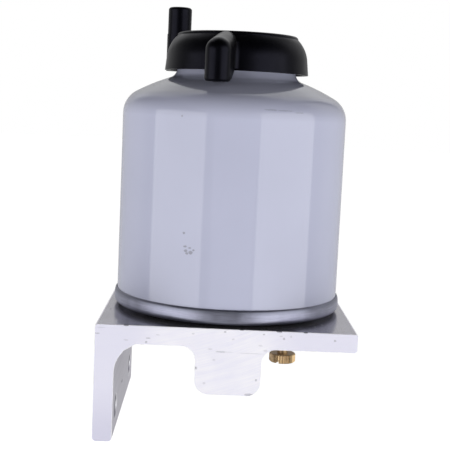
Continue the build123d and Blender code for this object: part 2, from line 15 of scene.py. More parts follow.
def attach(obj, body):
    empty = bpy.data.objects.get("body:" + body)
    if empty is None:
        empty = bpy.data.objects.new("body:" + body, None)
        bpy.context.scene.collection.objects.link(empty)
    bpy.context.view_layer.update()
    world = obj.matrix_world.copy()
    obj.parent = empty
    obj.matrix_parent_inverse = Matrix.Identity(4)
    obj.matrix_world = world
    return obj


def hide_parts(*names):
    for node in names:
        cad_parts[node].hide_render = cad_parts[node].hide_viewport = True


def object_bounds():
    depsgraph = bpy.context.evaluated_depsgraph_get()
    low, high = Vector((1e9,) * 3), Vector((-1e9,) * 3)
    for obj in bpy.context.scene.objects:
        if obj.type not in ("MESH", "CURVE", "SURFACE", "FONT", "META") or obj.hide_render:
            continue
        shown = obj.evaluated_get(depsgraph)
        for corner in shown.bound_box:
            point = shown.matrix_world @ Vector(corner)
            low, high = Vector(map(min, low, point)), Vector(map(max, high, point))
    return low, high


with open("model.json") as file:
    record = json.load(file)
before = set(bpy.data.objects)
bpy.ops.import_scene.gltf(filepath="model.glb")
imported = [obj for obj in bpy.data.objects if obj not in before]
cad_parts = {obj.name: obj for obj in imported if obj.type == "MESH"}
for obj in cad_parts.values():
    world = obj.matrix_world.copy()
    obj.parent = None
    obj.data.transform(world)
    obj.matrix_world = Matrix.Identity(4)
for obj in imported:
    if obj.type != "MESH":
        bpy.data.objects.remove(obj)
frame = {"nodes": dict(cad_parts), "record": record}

MM = 0.001
nodes = frame["nodes"]
bpy.context.scene.view_settings.view_transform = "Standard"
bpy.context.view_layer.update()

# %% [markdown]
# ## Camera
# A photograph's viewpoint could be matched by eye, but edges that are known to be straight, round or level
# give it exactly. The numbers below came from fitting such edges: where the lens stands, how far it looks
# down, and how much the whole picture leans. Places are in millimetres.

# %% Camera
PHOTO_SIDE = 450
FOCAL_PIXELS = 990.8
CAMERA_AT = (-7.892, -421.744, 111.831)
LOOKS_DOWN = math.radians(6.907)
LOOKS_RIGHT = math.radians(0.812)
LEANS = math.radians(2.607)


def camera_axes():
    """Right, up and forward of the camera, with its lean."""
    forward = Vector((
        math.sin(LOOKS_RIGHT) * math.cos(LOOKS_DOWN),
        math.cos(LOOKS_RIGHT) * math.cos(LOOKS_DOWN),
        -math.sin(LOOKS_DOWN),
    ))
    level = Vector((math.cos(LOOKS_RIGHT), -math.sin(LOOKS_RIGHT), 0))
    upright = level.cross(forward)
    right = math.cos(LEANS) * level + math.sin(LEANS) * upright
    up = -math.sin(LEANS) * level + math.cos(LEANS) * upright
    return right, up, forward


right, up, forward = camera_axes()
lens = bpy.data.cameras.new("camera")
lens.sensor_width = 36
lens.lens = FOCAL_PIXELS * lens.sensor_width / PHOTO_SIDE
camera = bpy.data.objects.new("camera", lens)
turn = Matrix((right, up, -forward)).transposed().to_4x4()
camera.matrix_world = Matrix.Translation(Vector(CAMERA_AT) * MM) @ turn
bpy.context.collection.objects.link(camera)
bpy.context.scene.camera = camera
print("lens:", round(lens.lens, 2), "mm")

# %% [markdown]
# ## Small helpers for shader nodes
# A material is a tree of nodes. Adding each node by hand takes many lines, so one helper adds a node and
# sets its properties and input values, and others join, calculate and mix.

# %% Node helpers
def add(tree, kind, inputs=None, **properties):
    """A new node of that kind in the tree, with its properties and input values set."""
    node = tree.nodes.new(kind)
    for name, value in properties.items():
        setattr(node, name, value)
    for name, value in (inputs or {}).items():
        feed(tree, value, node.inputs[name])
    return node


def feed(tree, value, socket):
    """Links a socket to the target, or sets the target to a plain value."""
    if isinstance(value, bpy.types.NodeSocket):
        tree.links.new(value, socket)
    else:
        socket.default_value = value


def maths(tree, operation, first, second=0.0, limit=False):
    """A maths node fed by sockets or plain numbers."""
    node = add(tree, "ShaderNodeMath", {0: first, 1: second}, operation=operation, use_clamp=limit)
    return node.outputs["Value"]


def vectors(tree, operation, first, second=(0.0, 0.0, 0.0)):
    """A vector maths node fed by sockets or plain vectors."""
    node = add(tree, "ShaderNodeVectorMath", {0: first, 1: second}, operation=operation)
    return node.outputs["Value" if operation in ("LENGTH", "DOT_PRODUCT") else "Vector"]


def remap(tree, source, low, high, to_low=0.0, to_high=1.0, smooth=False):
    """Takes a value from one range to another, clamped at both ends."""
    kind = "SMOOTHSTEP" if smooth else "LINEAR"
    inputs = {"Value": source, "From Min": low, "From Max": high, "To Min": to_low, "To Max": to_high}
    return add(tree, "ShaderNodeMapRange", inputs, interpolation_type=kind).outputs["Result"]


def blend_colour(tree, mask, first, second):
    """The first colour where the mask is 0, the second where it is 1."""
    node = add(tree, "ShaderNodeMix", data_type="RGBA")
    feed(tree, mask, node.inputs[0])
    feed(tree, first, node.inputs[6])
    feed(tree, second, node.inputs[7])
    return node.outputs[2]


def colour(red, green, blue):
    return (red, green, blue, 1.0)


# %% [markdown]
# ## Studio
# Glossy paint shows what stands round it, so the studio is built from the reflections in the photograph.
# Two tall soft boxes stand left and right of the camera, and the space between them is dim and fades to
# dark overhead, which is why the can's shoulder is dark. Behind the object it is pale low down and paler
# high up in the middle, between darker strips. Dull surfaces get light from low down, as over a light table.
# The world could be one flat colour, but a world that changes with direction gives all of this at once.
# Directions run from -1 to 1 along each axis: X points right, Y away from the camera and Z up.

# %% World
PAPER_WHITE = colour(1.0, 1.0, 1.0)

# What glossy surfaces see, by direction
BEHIND = 0.55
BEHIND_HIGH = 1.15
BEHIND_RIGHT = 0.25
BEHIND_FAR_RIGHT = 0.8
BEHIND_LEFT = 0.15
IN_FRONT = 0.16
OVERHEAD = 0.03
TABLE = 0.25

# Where that changes: the direction's X, Y or Z at the start and the end of each fade
RIGHT_X = (0.42, 0.55)
FAR_RIGHT_X = (0.57, 0.64)
LEFT_X = (-0.52, -0.66)
BACK_Y = (-0.05, 0.45)
BACK_HIGH_Z = (0.15, 0.55)
FRONT_HIGH_Z = (0.4, 0.75)
TABLE_Z = (-0.4, -0.65)
OVERHEAD_Z = (0.85, 0.97)

# What dull surfaces see: light from low down only
LOW_LIGHT = 1.5
HIGH_LIGHT = 0.0
LIGHT_Z = (-0.3, 0.1)


def build_world():
    """White to the camera, light from low down to dull surfaces, and a studio to glossy ones."""
    world = bpy.data.worlds.new("studio")
    bpy.context.scene.world = world
    world.use_nodes = True
    tree = world.node_tree
    tree.nodes.clear()
    direction = add(tree, "ShaderNodeTexCoord").outputs["Generated"]
    axes = add(tree, "ShaderNodeSeparateXYZ", {0: direction}).outputs

    def fade(axis, span, before, after):
        """From one value to the other as the direction's part along the axis crosses the span."""
        return remap(tree, axes[axis], *span, before, after, smooth=True)

    right_side = fade("X", RIGHT_X, BEHIND_HIGH, BEHIND_RIGHT)
    far_right = fade("X", FAR_RIGHT_X, right_side, BEHIND_FAR_RIGHT)
    both_sides = fade("X", LEFT_X, far_right, BEHIND_LEFT)
    back = fade("Z", BACK_HIGH_Z, BEHIND, both_sides)
    front = fade("Z", FRONT_HIGH_Z, IN_FRONT, OVERHEAD)
    around = fade("Y", BACK_Y, front, back)
    with_table = fade("Z", TABLE_Z, around, TABLE)
    glossy = fade("Z", OVERHEAD_Z, with_table, OVERHEAD)
    dull = fade("Z", LIGHT_Z, LOW_LIGHT, HIGH_LIGHT)
    path = add(tree, "ShaderNodeLightPath")
    light = remap(tree, path.outputs["Is Diffuse Ray"], 0.0, 1.0, glossy, dull)
    shown = remap(tree, path.outputs["Is Camera Ray"], 0.0, 1.0, light, 1.0)
    background = add(tree, "ShaderNodeBackground", {"Color": PAPER_WHITE, "Strength": shown})
    add(tree, "ShaderNodeOutputWorld", {"Surface": background.outputs["Background"]})


build_world()
print("world: behind", BEHIND, "in front", IN_FRONT, "overhead", OVERHEAD)

# %% [markdown]
# Each soft box is an area lamp. Its place follows from the edges of its reflection in the can: the left one
# spans about 28 to 85 degrees from the camera's side, the right one about 24 to 86, and it stands higher.

# %% Soft boxes
CAN_MIDDLE = Vector((0, 0, 70)) * MM
BOX_DISTANCE = 0.9
BOX_ON_DULL = 0.6
SOFT_BOXES = {
    "left_box": {"azimuth": -56.5, "width": 0.98, "top": 19.0, "bottom": -34.0, "glow": 1.65},
    "right_box": {"azimuth": 55.0, "width": 1.04, "top": 29.0, "bottom": -34.0, "glow": 1.65},
}


def soft_box(name, azimuth, width, top, bottom, glow):
    """Area lamp facing the can, from its lower to its upper edge in degrees seen from the can."""
    high = BOX_DISTANCE * math.tan(math.radians(top))
    low = BOX_DISTANCE * math.tan(math.radians(bottom))
    lamp = bpy.data.lights.new(name, "AREA")
    lamp.shape = "RECTANGLE"
    lamp.size = width
    lamp.size_y = high - low
    lamp.energy = glow * math.pi * width * (high - low)
    lamp.diffuse_factor = BOX_ON_DULL
    angle = math.radians(azimuth)
    outward = Vector((math.sin(angle), -math.cos(angle), 0))
    box = bpy.data.objects.new(name, lamp)
    box.location = CAN_MIDDLE + outward * BOX_DISTANCE + Vector((0, 0, (high + low) / 2))
    box.rotation_euler = outward.to_track_quat("Z", "Y").to_euler()
    box.visible_camera = False
    bpy.context.collection.objects.link(box)
    return lamp.energy


for name, box in SOFT_BOXES.items():
    print(name, "watts:", round(soft_box(name, **box), 2))

# %% [markdown]
# ## Floor
# The floor is a plain sheet under the leg. It could be lit until it turns white, but then the object would
# be lit too much. So it shows most of its white by itself, and keeps enough of the light's to hold a shadow.
# Only the camera sees it: what surfaces get from below is part of the world.

# %% Floor
FLOOR_SIDE = 6.0
FLOOR_BELOW = 0.02 * MM
FLOOR_OWN_WHITE = (0.93, 1.0)  # near the object and far from it
FLOOR_FADE = (0.15, 0.9)  # where it changes, in metres from the middle
FLOOR_COLOUR = colour(0.8, 0.8, 0.8)
floor_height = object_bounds()[0].z


def build_floor():
    """A pale sheet under the object."""
    bpy.ops.mesh.primitive_plane_add(size=FLOOR_SIDE, location=(0, 0, floor_height - FLOOR_BELOW))
    floor = bpy.context.object
    floor.name = "floor"
    material = bpy.data.materials.new("floor_paper")
    material.use_nodes = True
    tree = material.node_tree
    tree.nodes.clear()
    dull = add(tree, "ShaderNodeBsdfDiffuse", {"Color": FLOOR_COLOUR})
    path = add(tree, "ShaderNodeLightPath")
    away = vectors(tree, "LENGTH", add(tree, "ShaderNodeTexCoord").outputs["Object"])
    white = remap(tree, away, *FLOOR_FADE, *FLOOR_OWN_WHITE)
    own = maths(tree, "MULTIPLY", path.outputs["Is Camera Ray"], white)
    glow = add(tree, "ShaderNodeEmission", {"Color": PAPER_WHITE, "Strength": own})
    both = add(tree, "ShaderNodeAddShader", {0: dull.outputs[0], 1: glow.outputs[0]})
    add(tree, "ShaderNodeOutputMaterial", {"Surface": both.outputs[0]})
    floor.data.materials.append(material)
    floor.visible_glossy = False
    floor.visible_diffuse = False


build_floor()
print("floor at", round(floor_height / MM, 2), "mm")

# %% [markdown]
# ## Shared effects
# Several finishes need the same kind of detail: cloudy changes of tone, fine lines left by a tool, specks,
# scratches and single marks. Each effect is a node group, built once and placed in each material with its
# own values. A group could hold a whole shader, but one that puts out a plain mask can be used for colour,
# roughness and bump alike.

# %% Group helper
def new_group(name, sockets, outputs):
    """An empty shader group with those inputs (name, kind, default) and outputs (name, kind)."""
    group = bpy.data.node_groups.new(name, "ShaderNodeTree")
    for label, kind, default in sockets:
        socket = group.interface.new_socket(label, in_out="INPUT", socket_type=kind)
        socket.default_value = default
    for label, kind in outputs:
        group.interface.new_socket(label, in_out="OUTPUT", socket_type=kind)
    start = group.nodes.new("NodeGroupInput")
    end = group.nodes.new("NodeGroupOutput")
    return group, start.outputs, end.inputs


def place(tree, group, inputs):
    """The group as a node of the material's tree, with its values set."""
    node = add(tree, "ShaderNodeGroup", node_tree=group)
    for name, value in inputs.items():
        feed(tree, value, node.inputs[name])
    return node.outputs[0]


NUMBER = "NodeSocketFloat"
POINT = "NodeSocketVector"

# %% [markdown]
# Clouds are soft changes of tone, as in paint, zinc or dust. The group stretches a noise texture from its
# usual narrow range to the whole range from 0 to 1.

# %% Clouds
NOISE_RANGE = (0.3, 0.7)


def build_clouds():
    group, given, result = new_group(
        "clouds",
        [("Place", POINT, (0, 0, 0)), ("Scale", NUMBER, 100.0), ("Detail", NUMBER, 3.0)],
        [("Mask", NUMBER)],
    )
    inputs = {"Vector": given["Place"], "Scale": given["Scale"], "Detail": given["Detail"]}
    noise = add(group, "ShaderNodeTexNoise", inputs)
    group.links.new(remap(group, noise.outputs["Fac"], *NOISE_RANGE), result["Mask"])
    return group


CLOUDS = build_clouds()

# %% [markdown]
# Tool lines are what a die, a lathe or a saw leaves: noise that changes quickly across the lines and slowly
# along them. The group takes the two distances as numbers, so the same group draws straight lines on an
# extrusion, rings on a turned screw and the wide arcs of a saw, where the distance is a radius.

# %% Tool lines
def build_tool_lines():
    group, given, result = new_group(
        "tool_lines",
        [
            ("Across", NUMBER, 0.0),
            ("Along", NUMBER, 0.0),
            ("Spacing", NUMBER, 0.0005),
            ("Length", NUMBER, 0.03),
        ],
        [("Mask", NUMBER)],
    )
    across = maths(group, "DIVIDE", given["Across"], given["Spacing"])
    along = maths(group, "DIVIDE", given["Along"], given["Length"])
    stretched = add(group, "ShaderNodeCombineXYZ", {"X": across, "Y": along})
    inputs = {"Vector": stretched.outputs[0], "Scale": 1.0, "Detail": 3.0, "Roughness": 0.6}
    noise = add(group, "ShaderNodeTexNoise", inputs)
    group.links.new(remap(group, noise.outputs["Fac"], *NOISE_RANGE), result["Mask"])
    return group


TOOL_LINES = build_tool_lines()

# %% [markdown]
# Specks are small dots, such as pits in paint or grit on a sawn face. A Voronoi texture gives each cell one
# dot, and a random number per cell hides most of them.

# %% Specks
EDGE_SHARPNESS = 12.0


def build_specks():
    group, given, result = new_group(
        "specks",
        [
            ("Place", POINT, (0, 0, 0)),
            ("Scale", NUMBER, 300.0),
            ("Share", NUMBER, 0.2),
            ("Size", NUMBER, 0.25),
        ],
        [("Mask", NUMBER)],
    )
    cells = add(group, "ShaderNodeTexVoronoi", {"Vector": given["Place"], "Scale": given["Scale"]})
    number = add(group, "ShaderNodeSeparateXYZ", {0: cells.outputs["Color"]})
    chosen = maths(group, "LESS_THAN", number.outputs["X"], given["Share"])
    edge = maths(group, "SUBTRACT", given["Size"], cells.outputs["Distance"])
    dot = maths(group, "MULTIPLY", edge, EDGE_SHARPNESS, limit=True)
    group.links.new(maths(group, "MULTIPLY", dot, chosen), result["Mask"])
    return group


SPECKS = build_specks()

# %% [markdown]
# Scratches are thin lines in many directions. Noise that is stretched a lot gives broken streaks, and only
# its very middle value is kept, as a thin line. Two such layers at different angles look like handling.

# %% Scratches
SCRATCH_TILTS = ((0.4, 0.9, 0.2), (1.1, -0.5, 0.8))
SCRATCH_STRETCH = (1.0, 0.07, 0.25)
SCRATCH_GAPS = (0.52, 0.6)
GAP_SCALE = 25.0


def build_scratches():
    group, given, result = new_group(
        "scratches",
        [("Place", POINT, (0, 0, 0)), ("Scale", NUMBER, 60.0), ("Width", NUMBER, 0.004)],
        [("Mask", NUMBER)],
    )
    layers = []
    for tilt in SCRATCH_TILTS:
        inputs = {"Vector": given["Place"], "Rotation": tilt, "Scale": SCRATCH_STRETCH}
        turned = add(group, "ShaderNodeMapping", inputs).outputs[0]
        inputs = {"Vector": turned, "Scale": given["Scale"], "Detail": 1.0}
        noise = add(group, "ShaderNodeTexNoise", inputs)
        off = maths(group, "ABSOLUTE", maths(group, "SUBTRACT", noise.outputs["Fac"], 0.5))
        inside = maths(group, "SUBTRACT", given["Width"], off)
        thin = maths(group, "DIVIDE", inside, given["Width"], limit=True)
        gaps = add(group, "ShaderNodeTexNoise", {"Vector": turned, "Scale": GAP_SCALE})
        broken = remap(group, gaps.outputs["Fac"], *SCRATCH_GAPS)
        layers.append(maths(group, "MULTIPLY", thin, broken))
    group.links.new(maths(group, "MAXIMUM", layers[0], layers[1]), result["Mask"])
    return group


SCRATCHES = build_scratches()

# %% [markdown]
# Single marks have a place of their own: a nick, a speck of dirt, a chip. The group measures the distance
# from a point, after squashing space so that the mark can be long or wide, and makes the edge ragged.

# %% Marks
RAGGED_BY = 1.2
RAGGED_SCALE = 1500.0
MARK_EDGE = (1.35, 1.75)


def build_mark():
    group, given, result = new_group(
        "mark",
        [("Place", POINT, (0, 0, 0)), ("Centre", POINT, (0, 0, 0)), ("Half", POINT, (MM, MM, MM))],
        [("Mask", NUMBER)],
    )
    away = vectors(group, "SUBTRACT", given["Place"], given["Centre"])
    inside = vectors(group, "LENGTH", vectors(group, "DIVIDE", away, given["Half"]))
    inputs = {"Vector": given["Place"], "Scale": RAGGED_SCALE, "Detail": 2.0}
    noise = add(group, "ShaderNodeTexNoise", inputs)
    ragged = maths(group, "ADD", inside, maths(group, "MULTIPLY", noise.outputs["Fac"], RAGGED_BY))
    group.links.new(remap(group, ragged, *MARK_EDGE, 1.0, 0.0), result["Mask"])
    return group


MARK = build_mark()


def marks(tree, point, rows):
    """One mask from many marks: each row is a centre and half sizes, both in millimetres."""
    total = None
    for centre, half in rows:
        inputs = {
            "Place": point,
            "Centre": tuple(part * MM for part in centre),
            "Half": tuple(part * MM for part in half),
        }
        mask = place(tree, MARK, inputs)
        total = mask if total is None else maths(tree, "MAXIMUM", total, mask)
    return total


print("shared effects:", [group.name for group in bpy.data.node_groups])

# %% [markdown]
# ## Finishes
# Every finish starts the same way: a material with its Principled shader, and the place on the surface as
# the texture coordinate. Object coordinates are metres on the piece itself, so a pattern has its real size
# and stays on the piece when it moves.

# %% Start of a finish
class Finish:
    """A material with its shader, its place on the surface and that place's three numbers.

    The base colour and roughness are the finish's plain values, which its patterns then vary.
    """

    def __init__(self, name, base, roughness, metallic=0.0, ior=1.5):
        self.material = bpy.data.materials.new(name)
        self.material.use_nodes = True
        self.tree = self.material.node_tree
        self.shader = self.tree.nodes["Principled BSDF"]
        self.shader.inputs["Base Color"].default_value = base
        self.shader.inputs["Roughness"].default_value = roughness
        self.shader.inputs["Metallic"].default_value = metallic
        self.shader.inputs["IOR"].default_value = ior
        self.point = add(self.tree, "ShaderNodeTexCoord").outputs["Object"]
        axes = add(self.tree, "ShaderNodeSeparateXYZ", {0: self.point})
        self.x, self.y, self.z = axes.outputs["X"], axes.outputs["Y"], axes.outputs["Z"]

    def set(self, socket, source):
        self.tree.links.new(source, self.shader.inputs[socket])

    def blend(self, mask, first, second):
        return blend_colour(self.tree, mask, first, second)

    def roughness(self, least, *pairs):
        """Roughness from its least value and masks, each with its own share."""
        self.set("Roughness", maths(self.tree, "ADD", self.sum(*pairs), least))

    def clouds(self, size, detail=3.0):
        """Cloudy mask whose patches are about that many millimetres across."""
        return place(self.tree, CLOUDS, {"Place": self.point, "Scale": 1 / (size * MM), "Detail": detail})

    def lines(self, across, along, spacing, length):
        """Tool lines with that spacing and length in millimetres."""
        inputs = {"Across": across, "Along": along, "Spacing": spacing * MM, "Length": length * MM}
        return place(self.tree, TOOL_LINES, inputs)

    def specks(self, size, share, dot=0.25):
        inputs = {"Place": self.point, "Scale": 1 / (size * MM), "Share": share, "Size": dot}
        return place(self.tree, SPECKS, inputs)

    def scratches(self, size, width=0.004):
        return place(self.tree, SCRATCHES, {"Place": self.point, "Scale": 1 / (size * MM), "Width": width})

    def sum(self, *pairs):
        """Adds masks, each with its own share."""
        total = 0.0
        for mask, share in pairs:
            total = maths(self.tree, "ADD", maths(self.tree, "MULTIPLY", mask, share), total)
        return total

    def around(self, centre=(0.0, 0.0)):
        """Distance from an upright axis and the angle round it, for turned surfaces."""
        x = maths(self.tree, "SUBTRACT", self.x, centre[0] * MM)
        y = maths(self.tree, "SUBTRACT", self.y, centre[1] * MM)
        flat = add(self.tree, "ShaderNodeCombineXYZ", {"X": x, "Y": y})
        return vectors(self.tree, "LENGTH", flat.outputs[0]), maths(self.tree, "ARCTAN2", y, x)

    def bump(self, height, depth):
        """Bump of that depth in millimetres where the height goes from 0 to 1."""
        inputs = {"Height": height, "Distance": depth * MM, "Strength": 1.0}
        self.set("Normal", add(self.tree, "ShaderNodeBump", inputs).outputs["Normal"])


# %% [markdown]
# ### Can paint
# The can has a smooth baked paint, pale lavender grey, which mirrors the soft boxes sharply. A metallic
# shader would look like bare steel. A plain glossy one, with a very faint waviness of the surface and a few
# specks and a scratch, looks like paint.

# %% Can paint
CAN_MARKS = [
    ((-18.2, -43.2, 62.2), (0.55, 0.55, 0.45)),
    ((-17.6, -43.5, 57.0), (0.7, 0.7, 0.4)),
    ((-17.3, -43.6, 55.3), (0.75, 0.75, 0.6)),
    ((-16.8, -43.8, 54.4), (0.65, 0.65, 0.45)),
    ((-15.4, -44.3, 54.8), (0.85, 0.85, 0.65)),
    ((-15.7, -44.2, 56.6), (0.6, 0.6, 0.3)),
    ((-14.2, -44.7, 55.8), (0.5, 0.5, 0.35)),
    ((-20.7, -42.1, 106.9), (0.34, 0.4, 0.36)),
]
CAN_SCRATCH = [
    ((13.0, -44.2, 110.7), (3.0, 1.5, 0.28)),
    ((18.5, -42.6, 110.6), (4.5, 2.5, 0.2)),
    ((24.0, -39.8, 110.0), (2.5, 2.0, 0.2)),
]


def can_paint():
    paint = Finish("can_paint", colour(0.51, 0.525, 0.66), 0.06)
    tone = paint.clouds(35.0)
    dust = paint.specks(2.4, 0.05, 0.1)
    spots = maths(paint.tree, "MULTIPLY", marks(paint.tree, paint.point, CAN_MARKS), 0.75)
    lines = maths(paint.tree, "MULTIPLY", marks(paint.tree, paint.point, CAN_SCRATCH), 0.4)
    spots = maths(paint.tree, "MAXIMUM", spots, lines)
    clean = paint.blend(tone, colour(0.475, 0.49, 0.625), colour(0.495, 0.51, 0.65))
    dusty = paint.blend(maths(paint.tree, "MULTIPLY", dust, 0.25), clean, colour(0.25, 0.25, 0.3))
    paint.set("Base Color", paint.blend(spots, dusty, colour(0.22, 0.22, 0.27)))
    paint.roughness(0.05, (tone, 0.02), (dust, 0.2), (spots, 0.3), (paint.scratches(18.0, 0.002), 0.08))
    paint.bump(paint.sum((paint.clouds(2.2, 1.0), 0.25), (dust, 0.4), (spots, -1.0)), 0.004)
    return paint.material


# %% [markdown]
# ### Zinc of the seam ring
# The rolled ring has bare zinc plate. It was rolled as it spun, so its streaks run round the can. The angle
# round the axis is the "along" of the tool lines, and the height and radius are the "across". Painted shade
# darkens its lip and the turn of its roll near the plate, where the real ring is in shade.

# %% Seam zinc
SEAM_RADIUS = 48 * MM
LIP_PAINTED_SHADE = (31.3 * MM, 32.7 * MM, 0.0, 0.55)  # two heights and the painted shade's share at each
ROLL_PAINTED_SHADE = (28.7 * MM, 28.1 * MM, 0.0, 0.75)


def seam_zinc():
    zinc = Finish("seam_zinc", colour(0.6, 0.61, 0.68), 0.3, metallic=0.8)
    radius, angle = zinc.around()
    across = maths(zinc.tree, "ADD", radius, zinc.z)
    streaks = zinc.lines(across, maths(zinc.tree, "MULTIPLY", angle, SEAM_RADIUS), 0.35, 9.0)
    clouds = zinc.clouds(6.0)
    tone = zinc.sum((streaks, 0.6), (clouds, 0.4))
    plate = zinc.blend(tone, colour(0.27, 0.275, 0.36), colour(0.51, 0.52, 0.65))
    # Painted shade: the lip and the roll's turn near the plate are painted darker, as shade falls there.
    lip = remap(zinc.tree, zinc.z, *LIP_PAINTED_SHADE)
    roll = remap(zinc.tree, zinc.z, *ROLL_PAINTED_SHADE)
    painted_shade = maths(zinc.tree, "MAXIMUM", lip, roll)
    zinc.set("Base Color", zinc.blend(painted_shade, plate, colour(0.13, 0.135, 0.18)))
    zinc.roughness(0.28, (streaks, 0.12), (clouds, 0.1))
    zinc.bump(streaks, 0.012)
    return zinc.material


# %% [markdown]
# ### Aluminium of the bracket
# One length of extrusion shows four finishes. The ends are sawn and look almost white, since a sawn face
# scatters light from a rough relief. The top was faced on a mill to seal the gasket. The sides have the fine
# lines of the die, all in the extrusion's direction, and the bores have rings from the drill. A fifth, the
# worn metal of the edges, painted brighter as a highlight, joins them. Each mark is a centre and half sizes,
# in millimetres.

# %% Sawn ends
SAW_CENTRE = (-60.0, 190.0)
SAW_RADIUS = 170 * MM
FRONT = -48.3
BRIGHTEST_SPOT = (-4 * MM, FRONT * MM, 14 * MM)
FALLOFF_AWAY = (16 * MM, 36 * MM)  # how far from the brightest spot the painted light falloff starts and is full
LEG_PAINTED_SHADE = (4 * MM, -20 * MM)  # the heights where painted shade on the leg starts and is darkest
FRONT_NICKS = [
    ((-49.6, FRONT, 22.6), (1.0, 0.6, 0.25)),
    ((-38.8, FRONT, 26.1), (1.1, 0.9, 0.35)),
    ((-30.2, FRONT, 21.5), (0.95, 0.6, 0.25)),
    ((-30.9, FRONT, 19.9), (0.5, 0.6, 0.45)),
    ((-2.1, FRONT, 17.3), (1.9, 0.6, 0.28)),
    ((-0.7, FRONT, 25.2), (0.55, 0.6, 0.4)),
    ((5.8, FRONT, 26.3), (1.0, 0.9, 0.3)),
    ((14.3, FRONT, 24.8), (0.5, 0.6, 0.35)),
    ((20.2, FRONT, 26.1), (1.1, 0.9, 0.5)),
    ((22.1, FRONT, 23.4), (0.5, 0.6, 0.45)),
    ((30.5, FRONT, 26.2), (1.0, 0.9, 0.5)),
    ((41.8, FRONT, 23.4), (0.5, 0.6, 0.5)),
    ((-11.3, FRONT, 10.5), (0.5, 0.6, 0.6)),
    ((12.1, FRONT, 6.7), (0.4, 0.6, 0.5)),
    ((9.4, FRONT, 0.7), (1.9, 0.6, 0.5)),
]
FAINT_NICKS = [
    ((-48.5, FRONT, 25.0), (1.6, 0.6, 0.25)),
    ((-38.6, FRONT, 20.4), (0.9, 0.6, 0.3)),
    ((-26.5, FRONT, 22.9), (0.9, 0.6, 0.25)),
    ((-12.9, FRONT, 24.0), (0.6, 0.6, 0.45)),
    ((-17.0, FRONT, 19.0), (0.7, 0.6, 0.3)),
    ((-6.2, FRONT, 18.2), (0.9, 0.6, 0.3)),
    ((-4.5, FRONT, 14.0), (0.6, 0.6, 0.4)),
    ((-0.9, FRONT, 17.3), (3.4, 0.6, 0.2)),
    ((9.5, FRONT, 17.1), (5.2, 0.6, 0.16)),
    ((13.2, FRONT, 20.3), (0.8, 0.6, 0.3)),
    ((15.2, FRONT, 18.4), (0.9, 0.6, 0.5)),
    ((21.0, FRONT, 24.4), (0.6, 0.6, 0.3)),
    ((24.8, FRONT, 24.3), (0.4, 0.6, 0.5)),
    ((2.6, FRONT, 22.4), (0.5, 0.6, 0.4)),
    ((-8.0, FRONT, 4.5), (0.6, 0.6, 0.5)),
    ((-11.5, FRONT, 3.0), (0.4, 0.6, 0.8)),
]


def sawn_aluminium():
    sawn = Finish("sawn_aluminium", colour(0.9, 0.9, 0.94), 0.6, metallic=0.1)
    tree = sawn.tree
    x = maths(tree, "SUBTRACT", sawn.x, SAW_CENTRE[0] * MM)
    z = maths(tree, "SUBTRACT", sawn.z, SAW_CENTRE[1] * MM)
    reach = vectors(tree, "LENGTH", add(tree, "ShaderNodeCombineXYZ", {"X": x, "Y": z}).outputs[0])
    swing = maths(tree, "MULTIPLY", maths(tree, "ARCTAN2", z, x), SAW_RADIUS)
    fine = sawn.lines(reach, swing, 0.28, 14.0)
    coarse = sawn.lines(reach, swing, 1.6, 40.0)
    grit = sawn.specks(1.1, 0.16, 0.2)
    deep = marks(tree, sawn.point, FRONT_NICKS)
    faint = maths(tree, "MULTIPLY", marks(tree, sawn.point, FAINT_NICKS), 0.28)
    nicks = maths(tree, "MAXIMUM", maths(tree, "MULTIPLY", deep, 0.55), faint)
    # Painted light falloff: the sawn face is painted darker away from its brightest spot and lower down the
    # leg, where less light falls.
    away = vectors(tree, "LENGTH", vectors(tree, "SUBTRACT", sawn.point, BRIGHTEST_SPOT))
    painted_falloff = remap(tree, away, *FALLOFF_AWAY, smooth=True)
    leg_painted_shade = remap(tree, sawn.z, *LEG_PAINTED_SHADE, smooth=True)
    tone = sawn.sum((fine, 0.45), (coarse, 0.25), (sawn.clouds(9.0), 0.3))
    clean = sawn.blend(tone, colour(0.82, 0.81, 0.94), colour(0.985, 0.97, 1.0))
    dull = sawn.blend(maths(tree, "MULTIPLY", painted_falloff, 0.85), clean, colour(0.78, 0.77, 0.9))
    dull = sawn.blend(leg_painted_shade, dull, colour(0.68, 0.67, 0.81))
    gritty = sawn.blend(maths(tree, "MULTIPLY", grit, 0.12), dull, colour(0.45, 0.45, 0.5))
    sawn.set("Base Color", sawn.blend(nicks, gritty, colour(0.36, 0.35, 0.4)))
    sawn.roughness(0.5, (fine, 0.1), (nicks, 0.2))
    sawn.bump(sawn.sum((fine, 0.35), (coarse, 0.5), (grit, -0.4), (nicks, -2.0)), 0.03)
    return sawn.material


# %% Faced top, drawn sides, rounded edges and bores
TOP_MARKS = [
    ((-47.6, -20.3, 26.3), (0.7, 0.5, 0.5)),
    ((38.2, -33.7, 26.3), (0.6, 0.4, 0.5)),
    ((34.9, -37.9, 26.3), (0.5, 0.4, 0.5)),
]
LEG_MARKS = [((-43.0, -9.0, -7.2), (0.5, 1.2, 0.6))]


def drawn_aluminium(name, low, high, roughness, spots, metallic=1.0):
    """Aluminium with the die's fine lines along Y, handling scratches and a few marks."""
    drawn = Finish(name, high, roughness, metallic=metallic)
    tree = drawn.tree
    across = maths(tree, "ADD", drawn.x, maths(tree, "MULTIPLY", drawn.z, 1.31))
    die = drawn.lines(across, drawn.y, 0.22, 60.0)
    broad = drawn.lines(across, drawn.y, 2.4, 160.0)
    rubbed = drawn.scratches(14.0, 0.006)
    dull = drawn.clouds(11.0)
    spots_mask = marks(tree, drawn.point, spots)
    tone = drawn.sum((die, 0.4), (broad, 0.3), (dull, 0.3))
    clean = drawn.blend(tone, low, high)
    drawn.set("Base Color", drawn.blend(spots_mask, clean, colour(0.12, 0.12, 0.13)))
    drawn.roughness(roughness - 0.1, (die, 0.08), (dull, 0.12), (rubbed, 0.15), (spots_mask, 0.3))
    drawn.bump(drawn.sum((die, 0.4), (broad, 0.4), (rubbed, -0.4), (spots_mask, -2.0)), 0.012)
    return drawn.material


